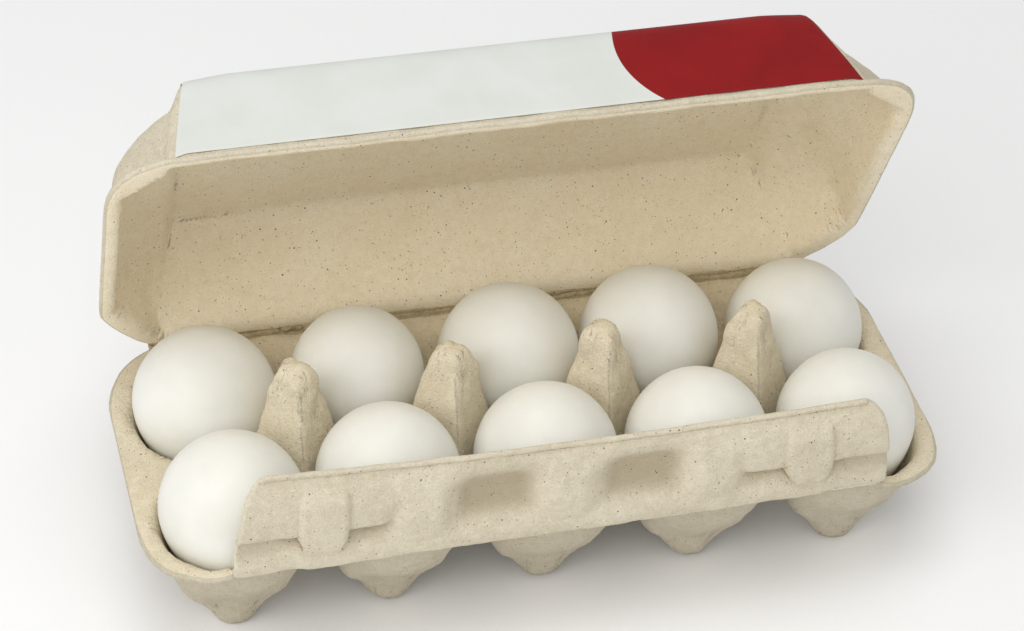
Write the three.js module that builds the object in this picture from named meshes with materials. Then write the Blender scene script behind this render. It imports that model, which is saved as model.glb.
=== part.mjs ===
// Ten-cell moulded pulp egg carton, standing open with its eggs in it.
// Millimetres, +Z up. X runs along the rows, the flap is on the -Y side and the hinge on the +Y side.
// Places below are given from the middle of the tray's two rows, at FOOT_DROP above the floor.
import * as THREE from 'three';

// ---- Driving dimensions ----
const COLUMNS = 5;
const PITCH = 48.9; // from egg to egg along a row
const ROW_Y = 25.7; // from the middle line to a row of eggs
const WALL = 2.0; // thickness of the pulp
const FOOT_DROP = 2.0; // the feet reach this far below the level that heights are given from
const SETBACK = 14.6; // the origin lies this far behind the rows' middle line, under the open carton's middle

const TRAY = {
  halfLength: 127,
  frontY: -51.2, // where the flap folds
  backY: 61.0,
  frontRadius: 25,
  backRadius: 21,
  rimZ: 38, // top of the rim
  webZ: 28.6, // top of the webs between two cups
};
// Inside of a cup: distance from the egg's axis, height.
const CUP = [
  [0, 0], [3.3, 0], [4.7, 2.4], [6.2, 5.4], [8.0, 8.6], [9.9, 11.8], [11.8, 14.8],
  [14.1, 18.0], [16.9, 22.0], [19.2, 26.0], [21.3, 30.0], [22.9, 34.0], [24.2, 38.0],
];
const CUP_SQUARENESS = 3.0; // exponent of the cup's plan, 2 is a circle
const POST = { top: 73.0, halfTop: 4.6, steepness: 3.7, depthRatio: 1.05 };

const EGG = { equatorZ: 43.9, seatZ: 10.5, upperRatio: 1.06, taper: 0.3, segments: 14, rows: 8 };
// Each egg: greatest radius, shift along X, shift along Y, shift of its widest place along Z.
const FRONT_EGGS = [
  [22.8, 0.1, -0.5, -1.2], [22.7, -0.2, 0.9, 0.9], [22.7, 0.7, 0.6, 1.0],
  [22.8, 0.3, -0.4, -0.4], [22.0, 0.4, -0.2, -0.1],
];
const BACK_EGGS = [
  [23.0, 0.3, -0.6, -0.8], [21.5, 0.5, 0.5, 0.7], [23.1, 1.2, 0.2, 0.6],
  [22.8, -0.7, 0.7, 0.5], [22.6, -0.4, -0.9, -2.6],
];

const HINGE = { y: 61.5, z: 38.5 };
const LID = {
  openDegrees: 64,
  halfLength: 126.0,
  width: 124.4, // from the hinge line to the front rim
  depth: 37.3, // from the mouth to the outside of the roof
  endDrop: 1.0, // how much lower the roof is beyond the plateau
  frontFoot: 121.7, // from the hinge line to the foot of the front wall
  backFoot: 4.0,
  endFoot: 123.8, // from the middle to the foot of an end wall
  draft: 0.35, // how far the front and back walls lean in for each millimetre of height
};
// The end walls and the facets in the corners swell round the end eggs: distance inwards, height.
const END_WALL = [
  [0, 0], [0.4, 6], [1.0, 12], [2.7, 17], [6.2, 22], [10.6, 27], [15, 32], [19, 36], [24, 40],
];
const FRONT_CORNER_WALL = [
  [0, 0], [4.1, 6], [6.6, 12], [8.9, 17], [12.3, 22], [17.6, 27], [24.5, 33], [30, 37],
];
// Each facet's direction in the plan (along X, along s) and how far its foot is from the hinge's middle.
const FRONT_CORNER = { x: 0.707, s: 0.707, foot: 163.4 };
const BACK_CORNER = { x: 0.816, s: -0.578, foot: 85.0 };
// The label's plateau: half its length at the mouth, and how fast its ends lean in.
const PLATEAU = { halfLength: 109.5, draft: 0.28 };

const FLAP = {
  gap: 0.3, // between the flap and the tray's front edge
  footZ: 38.4,
  height: 36.0,
  endRise: 0.6, // how much higher the flap is near its ends
  pillarX: 45, // the pillars stand at 0 and on both sides at this distance
  pillarHalf: 9.0,
  rollX: 54, // the roll runs from here to the flap's ends
  buttonX: 75.2,
  buttonHalf: 6.6,
};
// Half the flap's length at each height above its fold.
const FLAP_END = [[0, 101.5], [8, 101.5], [16, 100.3], [25, 99.2], [31, 97.9], [34, 96.0], [37, 92.4]];
// How far the outer face stands out at each height: in a pocket, on a pillar, on the roll, on a button.
const LEDGE = [[0, 2.0], [2.5, 4.6], [6.5, 5.0]];
const POCKET = [...LEDGE, [12.0, 0.8], [15, 0.2], [27, 1.2], [30.5, 3.0], [37, 1.2]];
const PILLAR = [...LEDGE, [12.5, 5.1], [22, 5.5], [28, 4.9], [37, 1.2]];
const ROLL = [...LEDGE, [12.5, 3.4], [16.8, 3.3], [17.6, 5.4], [22, 5.6], [28, 4.8], [37, 1.2]];
const BUTTON = [...LEDGE, [9.0, 4.4], [9.8, 6.4], [13, 7.3], [20, 7.4], [30, 5.4], [37, 1.2]];

const LABEL = { gap: 0.5, thickness: 0.4, footHeight: 6, footHalf: 105.6, edgeHalf: 97.8, roofEndS: 30 };

// ---- Numbers and curves ----
const clamp01 = (value) => Math.min(1, Math.max(0, value));

function smoothStep(low, high, value) {
  const t = clamp01((value - low) / (high - low));
  return t * t * (3 - 2 * t);
}

// The lesser of two heights, with the edge between them rounded over a height of `round`.
function roundedMin(a, b, round) {
  const h = Math.max(round - Math.abs(a - b), 0) / round;
  return Math.min(a, b) - (h * h * round) / 4;
}

const roundedMax = (a, b, round) => -roundedMin(-a, -b, round);

// Straight-line reading of a profile of [place, value] pairs.
function along(profile, place) {
  const last = profile.length - 1;
  if (place >= profile[last][0]) return profile[last][1];
  const next = Math.max(1, profile.findIndex(([at]) => at > place));
  const [x0, y0] = profile[next - 1];
  const [x1, y1] = profile[next];
  return y0 + ((y1 - y0) * (place - x0)) / (x1 - x0);
}

// ---- Sheets of pulp ----
const GRAIN = 64; // points in the same sixty-fourth of a millimetre are one point

// A plan is a list of [x, y] points and of triangles between them, seen from above.
function makePlan() {
  const points = [];
  const triangles = [];
  const known = new Map();
  const place = (x, y) => {
    const key = `${Math.round(x * GRAIN)},${Math.round(y * GRAIN)}`;
    if (!known.has(key)) {
      known.set(key, points.length);
      points.push([x, y]);
    }
    return known.get(key);
  };
  const triangle = (a, b, c) => {
    if (a !== b && b !== c && c !== a) triangles.push([a, b, c]);
  };
  return { points, triangles, place, triangle };
}

// Joins closed rings of equally many points, from the outermost to the innermost, and fills the last.
function addRings(plan, rings, centre) {
  const ids = rings.map((ring) => ring.map(([x, y]) => plan.place(x, y)));
  const count = rings[0].length;
  for (let r = 0; r + 1 < ids.length; r += 1) {
    for (let k = 0; k < count; k += 1) {
      const next = (k + 1) % count;
      plan.triangle(ids[r][k], ids[r][next], ids[r + 1][next]);
      plan.triangle(ids[r][k], ids[r + 1][next], ids[r + 1][k]);
    }
  }
  const middle = plan.place(...centre);
  const inner = ids[ids.length - 1];
  for (let k = 0; k < count; k += 1) plan.triangle(inner[k], inner[(k + 1) % count], middle);
}

// The underside of a sheet: where a ball as wide as the sheet is thick can come to rest below it.
function underside(height, x, y, thickness) {
  let low = height(x, y) - thickness;
  for (const reach of [0.5, 0.9]) {
    for (let k = 0; k < 12; k += 1) {
      const angle = (k * Math.PI) / 6;
      const step = reach * thickness;
      const drop = Math.sqrt(thickness * thickness - step * step);
      low = Math.min(low, height(x + step * Math.cos(angle), y + step * Math.sin(angle)) - drop);
    }
  }
  return low;
}

// A closed solid between two faces over one plan. Each face turns a plan point into a point in space.
function solidBetween(plan, upper, lower) {
  const count = plan.points.length;
  const corners = [...plan.points.map(upper), ...plan.points.map(lower)];
  const index = [];
  const sides = new Map();
  for (const [a, b, c] of plan.triangles) {
    index.push(a, b, c, count + c, count + b, count + a);
    for (const [from, to] of [[a, b], [b, c], [c, a]]) {
      if (!sides.delete(`${to},${from}`)) sides.set(`${from},${to}`, [from, to]);
    }
  }
  for (const [from, to] of sides.values()) index.push(from, count + from, count + to, from, count + to, to);
  const geometry = new THREE.BufferGeometry();
  geometry.setAttribute('position', new THREE.Float32BufferAttribute(corners.flat(), 3));
  geometry.setIndex(index);
  geometry.computeVertexNormals();
  return geometry;
}

// A sheet that follows `height` on its upper face.
function pulpSheet(plan, height) {
  const upper = ([x, y]) => [x, y, height(x, y)];
  const lower = ([x, y]) => [x, y, underside(height, x, y, WALL)];
  return solidBetween(plan, upper, lower);
}

// ---- Tray ----
const columnX = (column) => (column - (COLUMNS - 1) / 2) * PITCH;
const roundPlan = (dx, dy, power) => (Math.abs(dx) ** power + Math.abs(dy) ** power) ** (1 / power);

function cupHeight(x, y) {
  const column = Math.round(x / PITCH + (COLUMNS - 1) / 2);
  const middle = columnX(Math.min(COLUMNS - 1, Math.max(0, column)));
  return along(CUP, roundPlan(x - middle, Math.abs(y) - ROW_Y, CUP_SQUARENESS));
}

// Highest place of the sheet without its posts: the rim around it, the webs inside it.
function crestHeight(x, y) {
  const toRim = Math.max(
    smoothStep(111, 121, Math.abs(x)),
    smoothStep(41, 54, y),
    smoothStep(41, 50, -y),
  );
  return TRAY.webZ + (TRAY.rimZ - TRAY.webZ) * toRim;
}

function postHeight(x, y) {
  const gap = Math.round(x / PITCH + 0.5) - 0.5;
  const away = Math.abs(x - Math.min(1.5, Math.max(-1.5, gap)) * PITCH);
  const spread = away + Math.abs(y) / POST.depthRatio;
  return Math.min(POST.top, POST.top - POST.steepness * (spread - POST.halfTop));
}

const trayHeight = (x, y) => Math.max(Math.min(cupHeight(x, y), crestHeight(x, y)), postHeight(x, y));

const SIDE_STOPS = [0, 0.1, 0.34, 0.66, 0.9]; // shares of a cell's side: post, its edge, its foot
const CUP_RINGS = [22.0, 18.2, 12.8, 7.4, 3.3];
// A ring between the cup and the cell's edge: where a post's top ends, or where the rim begins.
const POST_SHARE = 0.7;
const RIM_SHARE = 0.35;

// The tray's outline, for a place on the outer side of a cell.
function trayEdge(x, y) {
  const frontOrBack = y < 0 ? Math.abs(TRAY.frontY) : TRAY.backY;
  const radius = y < 0 ? TRAY.frontRadius : TRAY.backRadius;
  const inset = [TRAY.halfLength - radius, frontOrBack - radius];
  const over = [Math.abs(x) - inset[0], Math.abs(y) - inset[1]];
  if (over[0] <= 0) return [x, Math.sign(y) * frontOrBack];
  if (over[1] <= 0) return [Math.sign(x) * TRAY.halfLength, y];
  const stretch = radius / Math.hypot(...over);
  return [Math.sign(x) * (inset[0] + over[0] * stretch), Math.sign(y) * (inset[1] + over[1] * stretch)];
}

// A cell's edge, anticlockwise: plan place and the share at which its middle ring lies.
function cellEdge(column, row) {
  const middle = columnX(column);
  const left = column === 0 ? -TRAY.halfLength : middle - PITCH / 2;
  const right = column === COLUMNS - 1 ? TRAY.halfLength : middle + PITCH / 2;
  const outerY = row * ROW_Y * 2;
  const [front, back] = row < 0 ? [outerY, 0] : [0, outerY];
  const corners = [[left, front], [right, front], [right, back], [left, back]];
  return corners.flatMap((from, side) => {
    const to = corners[(side + 1) % corners.length];
    return SIDE_STOPS.map((t) => {
      const x = from[0] + (to[0] - from[0]) * t;
      const y = from[1] + (to[1] - from[1]) * t;
      const isOutline = y === outerY || Math.abs(x) === TRAY.halfLength;
      return isOutline ? [...trayEdge(x, y), RIM_SHARE] : [x, y, POST_SHARE];
    });
  });
}

function trayPlan() {
  const plan = makePlan();
  for (const row of [-1, 1]) {
    for (let column = 0; column < COLUMNS; column += 1) {
      const centre = [columnX(column), row * ROW_Y];
      const edge = cellEdge(column, row);
      const cupRings = CUP_RINGS.map((reach) => edge.map(([x, y]) => {
        const [dx, dy] = [x - centre[0], y - centre[1]];
        const t = reach / roundPlan(dx, dy, CUP_SQUARENESS);
        return [centre[0] + dx * t, centre[1] + dy * t];
      }));
      const middleRing = edge.map(([x, y, share], k) => {
        const [cupX, cupY] = cupRings[0][k];
        return [cupX + (x - cupX) * share, cupY + (y - cupY) * share];
      });
      addRings(plan, [edge, middleRing, ...cupRings], centre);
    }
  }
  return plan;
}

// ---- Lid, in its own frame: s runs from the hinge line to the front rim, the roof is up ----
function lidHeight(x, s) {
  const reach = Math.abs(x);
  const facet = (corner) => corner.foot - corner.x * reach - corner.s * s;
  const fromFront = (LID.frontFoot - s) / LID.draft;
  const fromBack = (s - LID.backFoot) / LID.draft;
  const endWalls = [
    fromFront,
    fromBack,
    along(END_WALL, LID.endFoot - reach),
    along(END_WALL, facet(BACK_CORNER)),
    along(FRONT_CORNER_WALL, facet(FRONT_CORNER)),
  ];
  const plateauWalls = [fromFront, fromBack, (PLATEAU.halfLength - reach) / PLATEAU.draft];
  const ends = endWalls.reduce((low, wall) => roundedMin(low, wall, 4), LID.depth - LID.endDrop);
  const plateau = plateauWalls.reduce((low, wall) => roundedMin(low, wall, 2.5), LID.depth);
  return roundedMax(WALL, roundedMax(ends, plateau, 2), 2);
}

// The lid's rim, from the middle of its front round by the right end to the hinge and back by the left.
const FRONT_CORNER_RADIUS = 17;
const FRONT_STOPS = [0, 40, 80, 98, 103, 107.5];
const END_STOPS = [105, 84, 62, 44, 28.5];
const BACK_STOPS = [
  [125.9, 24.0], [122.5, 18], [117.2, 10.2], [113.6, 5.8], [110.6, 2.2], [104, 0.6], [80, 0.6], [40, 0.6],
];

function lidRim() {
  const { halfLength, width } = LID;
  const front = FRONT_STOPS.map((x) => [x, width]);
  const corner = [0.12, 0.3, 0.5, 0.75].map((share) => {
    const angle = (share * Math.PI) / 2;
    const radius = FRONT_CORNER_RADIUS;
    return [halfLength - radius * (1 - Math.sin(angle)), width - radius * (1 - Math.cos(angle))];
  });
  const end = END_STOPS.map((s) => [halfLength, s]);
  const half = [...front, ...corner, ...end, ...BACK_STOPS];
  const mirrored = half.slice(1).map(([x, s]) => [-x, s]).reverse();
  return [...half, [0, 0.6], ...mirrored];
}

const LID_CORE = { halfLength: 96.5, frontS: 101.5, endS: 80, backS: 23 };
const LID_LEVELS = [2.6, 6, 15.1, 17.6, 22, 29, 35, 37.1];

// The place on the lid's flat middle towards which the roof climbs from a rim place.
function toCore([x, s]) {
  const { halfLength, frontS, endS, backS } = LID_CORE;
  const farthest = Math.abs(x) === LID.halfLength ? endS : frontS;
  return [Math.min(halfLength, Math.max(-halfLength, x)), Math.min(farthest, Math.max(backS, s))];
}

// Walking from a rim place to the lid's flat middle, the first place as high as `level`.
function climbTo(level, [x, s]) {
  const [coreX, coreS] = toCore([x, s]);
  let [low, high] = [0, 1];
  for (let halving = 0; halving < 24; halving += 1) {
    const share = (low + high) / 2;
    if (lidHeight(x + (coreX - x) * share, s + (coreS - s) * share) < level) low = share;
    else high = share;
  }
  return [x + (coreX - x) * high, s + (coreS - s) * high];
}

function lidPlan() {
  const plan = makePlan();
  const rim = lidRim();
  const levelRings = LID_LEVELS.map((level) => rim.map((place) => climbTo(level, place)));
  const rings = [rim, ...levelRings, rim.map(toCore)];
  addRings(plan, rings.map((ring) => ring.map(([x, s]) => [x, -s])), [0, -LID.width / 2]);
  return plan;
}

// ---- Flap, in its own frame: x along the fold, u up from the fold, the face turned outwards ----
const within = (distance, half, soft) => 1 - smoothStep(half - soft, half + soft, Math.abs(distance));

function flapHeight(x, u) {
  const pillars = [-FLAP.pillarX, 0, FLAP.pillarX].map((at) => within(x - at, FLAP.pillarHalf, 2.5));
  const roll = smoothStep(FLAP.rollX - 3, FLAP.rollX + 3, Math.abs(x));
  const button = within(Math.abs(x) - FLAP.buttonX, FLAP.buttonHalf, 0.8);
  let face = along(POCKET, u);
  face += (along(PILLAR, u) - face) * Math.max(...pillars);
  face += (along(ROLL, u) - face) * roll;
  face += (along(BUTTON, u) - face) * button;
  return face;
}

function flapPlan() {
  const plan = makePlan();
  const half = [0, 7, 11.5, 20, 34, 39, 51, 57, 67.6, 69.6, 80.8, 82.8, 92, 101.5];
  const columns = [...half.slice(1).map((x) => -x).reverse(), ...half];
  const rows = [0, 2.5, 5.5, 9.4, 10.4, 16.6, 17.8, 24, 30, FLAP.height];
  const ids = rows.map((u) => columns.map((x) => {
    const share = x / FLAP_END[0][1];
    const reach = along(FLAP_END, u) - FLAP_END[0][1];
    return plan.place(x + reach * share ** 3, u * (1 + (FLAP.endRise / FLAP.height) * share * share));
  }));
  for (let r = 0; r + 1 < rows.length; r += 1) {
    for (let k = 0; k + 1 < columns.length; k += 1) {
      plan.triangle(ids[r][k], ids[r][k + 1], ids[r + 1][k + 1]);
      plan.triangle(ids[r][k], ids[r + 1][k + 1], ids[r + 1][k]);
    }
  }
  return plan;
}

// ---- Label, laid over the lid's front wall and roof ----
function labelPlan() {
  const plan = makePlan();
  const levels = [LABEL.footHeight, ...LID_LEVELS.filter((level) => level > LABEL.footHeight)];
  const wallRows = levels.map((level) => climbTo(level, [0, LID.width])[1]);
  const rows = [...wallRows, LID.frontFoot - 21, 66, LABEL.roofEndS];
  const columns = 8;
  const ids = rows.map((s) => {
    const share = clamp01((rows[0] - s) / (rows[0] - wallRows[wallRows.length - 1]));
    const half = LABEL.footHalf + (LABEL.edgeHalf - LABEL.footHalf) * share;
    return Array.from({ length: columns + 1 }, (_, k) => plan.place(half * ((2 * k) / columns - 1), -s));
  });
  for (let r = 0; r + 1 < rows.length; r += 1) {
    for (let k = 0; k < columns; k += 1) {
      plan.triangle(ids[r][k], ids[r][k + 1], ids[r + 1][k + 1]);
      plan.triangle(ids[r][k], ids[r + 1][k + 1], ids[r + 1][k]);
    }
  }
  return plan;
}

// A place at a distance outside the lid's outer face.
function offLid([x, y], distance) {
  const step = 0.2;
  const height = lidHeight(x, -y);
  const slopeX = (lidHeight(x + step, -y) - lidHeight(x - step, -y)) / (2 * step);
  const slopeY = (lidHeight(x, -y - step) - lidHeight(x, -y + step)) / (2 * step);
  const normal = new THREE.Vector3(-slopeX, -slopeY, 1).setLength(distance);
  return [x + normal.x, y + normal.y, height + normal.z];
}

// ---- Eggs: blunt end up, the lower half drawn in towards its point ----
function eggGeometry(radius, equatorZ) {
  const lower = equatorZ - EGG.seatZ;
  const upper = radius * EGG.upperRatio;
  const profile = [];
  for (let row = 0; row <= EGG.rows; row += 1) {
    const angle = -Math.PI / 2 + (row * Math.PI) / EGG.rows;
    const height = Math.sin(angle) * (angle < 0 ? lower : upper);
    const drawnIn = 1 - EGG.taper * Math.max(0, -Math.sin(angle)) ** 1.5;
    const atPole = row === 0 || row === EGG.rows;
    profile.push(new THREE.Vector2(atPole ? 0 : radius * Math.cos(angle) * drawnIn, height));
  }
  return new THREE.LatheGeometry(profile, EGG.segments).rotateX(Math.PI / 2);
}

// ---- Materials ----
const finish = (color, roughness) => new THREE.MeshStandardMaterial({ color, roughness, metalness: 0 });

function part(name, geometry, material) {
  const mesh = new THREE.Mesh(geometry, material);
  mesh.name = name;
  return mesh;
}

// ---- The carton ----
const carton = new THREE.Group();
carton.add(part('tray', pulpSheet(trayPlan(), trayHeight), finish(0xcdc0a2, 0.95)));

for (const [row, side, eggs] of [['front', -1, FRONT_EGGS], ['back', 1, BACK_EGGS]]) {
  eggs.forEach(([radius, shiftX, shiftY, shiftZ], column) => {
    const equatorZ = EGG.equatorZ + shiftZ;
    const egg = part(`egg_${row}_${column + 1}`, eggGeometry(radius, equatorZ), finish(0xeeebe0, 0.55));
    egg.position.set(columnX(column) + shiftX, side * ROW_Y + shiftY, equatorZ);
    carton.add(egg);
  });
}

const flap = part('flap', pulpSheet(flapPlan(), flapHeight), finish(0xcdc3aa, 0.95));
flap.rotation.x = Math.PI / 2;
flap.position.set(0, TRAY.frontY - FLAP.gap, FLAP.footZ);
carton.add(flap);

const lid = new THREE.Group();
lid.position.set(0, HINGE.y, HINGE.z);
lid.rotation.x = (-LID.openDegrees * Math.PI) / 180;
lid.add(part('lid', pulpSheet(lidPlan(), (x, y) => lidHeight(x, -y)), finish(0xcab893, 0.95)));
const labelOuter = (place) => offLid(place, LABEL.gap + LABEL.thickness);
const labelInner = (place) => offLid(place, LABEL.gap);
lid.add(part('label', solidBetween(labelPlan(), labelOuter, labelInner), finish(0xdfe1d8, 0.6)));
carton.add(lid);
carton.position.set(0, -SETBACK, FOOT_DROP);

export default carton;
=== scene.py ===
"""The looks of an open ten-cell pulp egg carton with its eggs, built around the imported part.

Lengths are in millimetres until a mesh is made. Places are given as the part's source gives them: from
the middle line between the two rows of eggs, FOOT_DROP above the floor, X along the rows, Z up.
"""

import math

import bmesh
import bpy
import numpy as np
from mathutils import Matrix, Vector


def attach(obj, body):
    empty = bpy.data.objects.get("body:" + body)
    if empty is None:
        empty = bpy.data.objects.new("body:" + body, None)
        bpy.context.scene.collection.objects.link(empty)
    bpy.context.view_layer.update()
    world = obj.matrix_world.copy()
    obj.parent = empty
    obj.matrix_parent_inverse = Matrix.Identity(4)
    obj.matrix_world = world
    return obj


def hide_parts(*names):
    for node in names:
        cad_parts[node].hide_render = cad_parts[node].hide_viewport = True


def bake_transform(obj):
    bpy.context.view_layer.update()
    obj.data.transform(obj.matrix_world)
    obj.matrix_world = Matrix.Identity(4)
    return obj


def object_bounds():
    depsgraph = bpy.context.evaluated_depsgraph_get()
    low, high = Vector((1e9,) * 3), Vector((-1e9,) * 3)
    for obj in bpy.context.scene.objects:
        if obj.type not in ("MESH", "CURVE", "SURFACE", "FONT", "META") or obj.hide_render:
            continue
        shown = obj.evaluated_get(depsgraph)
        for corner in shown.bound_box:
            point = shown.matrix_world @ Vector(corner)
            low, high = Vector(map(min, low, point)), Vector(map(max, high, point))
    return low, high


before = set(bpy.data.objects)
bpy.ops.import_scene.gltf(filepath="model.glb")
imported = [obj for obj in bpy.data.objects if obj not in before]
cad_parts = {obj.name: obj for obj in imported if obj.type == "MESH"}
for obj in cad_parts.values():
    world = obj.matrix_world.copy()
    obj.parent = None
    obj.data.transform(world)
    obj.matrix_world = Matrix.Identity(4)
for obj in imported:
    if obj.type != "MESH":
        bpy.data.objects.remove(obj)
cad_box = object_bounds()

SETBACK = 14.6  # the frame's origin lies this far behind the rows' middle line
FOOT_DROP = 2.0  # the end feet reach this far below the level that heights are given from
PITCH = 48.9  # between neighbouring cups of a row
ROW_Y = 25.7  # each row's distance from the middle line
COLUMNS = 5
PULP = 2.0  # thickness of the pulp
BOX_MARGIN = 2e-5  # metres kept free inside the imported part's box

HINGE_Y, HINGE_Z = 61.5, 38.5
LID_OPEN = math.radians(64)


# ---- Numbers ----
def smooth_step(low, high, value):
    t = np.clip((value - low) / (high - low), 0, 1)
    return t * t * (3 - 2 * t)


def soft_min(a, b, width):
    h = np.maximum(width - np.abs(a - b), 0) / width
    return np.minimum(a, b) - h * h * width / 4


def soft_max(a, b, width):
    return -soft_min(-a, -b, width)


def rounded_curve(points, width):
    """A curve through [place, value] pairs with its corners rounded over `width`."""
    places, values = np.array(points, float).T
    step = 0.1
    reach = int(width / step)
    dense = np.arange(places[0] - width - 1, places[-1] + width + 1, step)
    first = (values[1] - values[0]) / (places[1] - places[0])
    last = (values[-1] - values[-2]) / (places[-1] - places[-2])
    line = np.interp(dense, places, values)
    line = np.where(dense < places[0], values[0] + first * (dense - places[0]), line)
    line = np.where(dense > places[-1], values[-1] + last * (dense - places[-1]), line)
    bell = np.hanning(2 * reach + 1)
    smooth = np.convolve(line, bell / bell.sum(), mode="same")
    inner = slice(reach, len(dense) - reach)
    return lambda place: np.interp(place, dense[inner], smooth[inner])


def lattice(x, y, z, seed):
    """A repeatable number from -1 to 1 for each whole-numbered place."""
    mixed = (x * 374761393 + y * 668265263 + z * 1440662683 + seed * 1274126177) & 0xFFFFFFFF
    mixed = ((mixed ^ (mixed >> 13)) * 1274126177) & 0xFFFFFFFF
    mixed = mixed ^ (mixed >> 16)
    return mixed / 0x7FFFFFFF - 1


def noise(points, size, seed):
    """Smooth noise from -1 to 1 with bumps about `size` wide, at an array of points."""
    scaled = points / np.asarray(size, float) + 100.0 * seed
    cell = np.floor(scaled).astype(np.int64)
    part = scaled - cell
    part = part * part * (3 - 2 * part)
    total = np.zeros(len(points))
    for corner in range(8):
        step = np.array([corner & 1, corner >> 1 & 1, corner >> 2 & 1])
        weight = np.prod(np.where(step, part, 1 - part), axis=1)
        total += weight * lattice(*(cell + step).T, seed)
    return total


def rough(points, size, seed, octaves=3):
    """Noise with finer and weaker bumps added."""
    return sum(noise(points, np.divide(size, 2**k), seed + k) / 2**k for k in range(octaves))


# ---- Meshes ----
def ring_triangles(count, first, second):
    """Triangles between two closed rings of `count` points that start at those indices."""
    k = np.arange(count)
    n = (k + 1) % count
    return np.concatenate(
        [np.stack([first + k, first + n, second + n], 1), np.stack([first + k, second + n, second + k], 1)]
    )


def weld(points, triangles, grain=0.02):
    """Points in the same place become one, and triangles left without area go."""
    keys = np.round(points / grain).astype(np.int64)
    _, first, inverse = np.unique(keys, axis=0, return_index=True, return_inverse=True)
    triangles = inverse.reshape(-1)[triangles]
    a, b, c = triangles.T
    return points[first], triangles[(a != b) & (b != c) & (c != a)]


def refine(plan, triangles, surface, longest, rounds=6):
    """Splits edges of a plan mesh until none is longer than `longest` on the surface in space."""
    for _ in range(rounds):
        placed = surface(plan)
        edges = np.sort(np.concatenate([triangles[:, [0, 1]], triangles[:, [1, 2]], triangles[:, [2, 0]]]), 1)
        unique, inverse = np.unique(edges, axis=0, return_inverse=True)
        inverse = inverse.reshape(-1)
        ends = placed[unique]
        length = np.linalg.norm(ends[:, 0] - ends[:, 1], axis=1)
        limit = longest(ends.mean(1)) if callable(longest) else longest
        split = length > limit
        if not split.any():
            break
        middle = np.full(len(unique), -1)
        middle[split] = len(plan) + np.arange(split.sum())
        plan = np.concatenate([plan, plan[unique[split]].mean(1)])
        mids = middle[inverse].reshape(3, -1).T
        triangles = split_triangles(triangles, mids)
    return plan, triangles


def split_triangles(triangles, mids):
    """Cuts each triangle at the middles its edges have. mids[:, k] lies between corners k and k + 1."""
    has = mids >= 0
    count = has.sum(1)
    pieces = [triangles[count == 0]]
    for k in range(3):
        turned = np.roll(triangles, -k, axis=1)
        turned_mids = np.roll(mids, -k, axis=1)
        turned_has = np.roll(has, -k, axis=1)
        a, b, c = turned.T
        ab, bc, ca = turned_mids.T
        one = (count == 1) & turned_has[:, 0]
        pieces += [np.stack([a, ab, c], 1)[one], np.stack([ab, b, c], 1)[one]]
        two = (count == 2) & turned_has[:, 0] & turned_has[:, 1]
        pieces += [np.stack([ab, b, bc], 1)[two], np.stack([a, ab, bc], 1)[two], np.stack([a, bc, c], 1)[two]]
    a, b, c = triangles[count == 3].T
    ab, bc, ca = mids[count == 3].T
    pieces += [np.stack(corners, 1) for corners in ((a, ab, ca), (ab, b, bc), (ca, bc, c), (ab, bc, ca))]
    return np.concatenate(pieces)


def normals_of(points, triangles):
    a, b, c = points[triangles].transpose(1, 0, 2)
    across = np.cross(b - a, c - a)
    total = np.zeros_like(points)
    for k in range(3):
        np.add.at(total, triangles[:, k], across)
    return total / np.maximum(np.linalg.norm(total, axis=1, keepdims=True), 1e-9)


def border_edges(triangles):
    """Edges that only one triangle has, as that triangle runs along them."""
    edges = np.concatenate([triangles[:, [0, 1]], triangles[:, [1, 2]], triangles[:, [2, 0]]])
    _, inverse, count = np.unique(np.sort(edges, 1), axis=0, return_inverse=True, return_counts=True)
    return edges[count[inverse.reshape(-1)] == 1]


def grid_triangles(lines, per_line, flipped=False):
    """Triangles of a grid of points laid out line after line."""
    k = (np.arange(lines - 1)[:, None] * per_line + np.arange(per_line - 1)).ravel()
    if flipped:
        pairs = [(k, k + 1, k + per_line + 1), (k, k + per_line + 1, k + per_line)]
    else:
        pairs = [(k, k + per_line, k + per_line + 1), (k, k + per_line + 1, k + 1)]
    return np.concatenate([np.stack(corners, 1) for corners in pairs])


def thicken(middle, triangles, thickness, edge_steps=3):
    """A closed sheet round its middle surface, with a rounded edge."""
    normal = normals_of(middle, triangles)
    half = np.reshape(thickness, (-1, 1)) / 2 * np.ones((len(middle), 1))
    count = len(middle)
    points = [middle + normal * half, middle - normal * half]
    faces = [triangles, triangles[:, ::-1] + count]
    border = border_edges(triangles)
    outward = np.zeros_like(middle)
    for end in (0, 1):
        along = middle[border[:, 1]] - middle[border[:, 0]]
        side = np.cross(along, normal[border[:, end]])
        np.add.at(outward, border[:, end], side)
    ids = np.unique(border)
    outward = outward[ids] / np.maximum(np.linalg.norm(outward[ids], axis=1, keepdims=True), 1e-9)
    rows = [np.full(count, -1)]
    rows[0][ids] = ids
    total = 2 * count
    for step in range(1, edge_steps + 1):
        angle = math.pi * (0.5 - step / (edge_steps + 1))
        bulge = normal[ids] * math.sin(angle) + outward * math.cos(angle)
        points.append(middle[ids] + bulge * half[ids])
        row = np.full(count, -1)
        row[ids] = total + np.arange(len(ids))
        rows.append(row)
        total += len(ids)
    last = np.full(count, -1)
    last[ids] = ids + count
    rows.append(last)
    a, b = border.T
    for upper, lower in zip(rows, rows[1:]):
        faces += [np.stack([upper[b], upper[a], lower[a]], 1), np.stack([upper[b], lower[a], lower[b]], 1)]
    return np.concatenate(points), np.concatenate(faces)


def to_frame(points):
    """From the carton's millimetres to the frame's metres."""
    return (points - np.array([0, SETBACK, -FOOT_DROP])) / 1000


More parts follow.
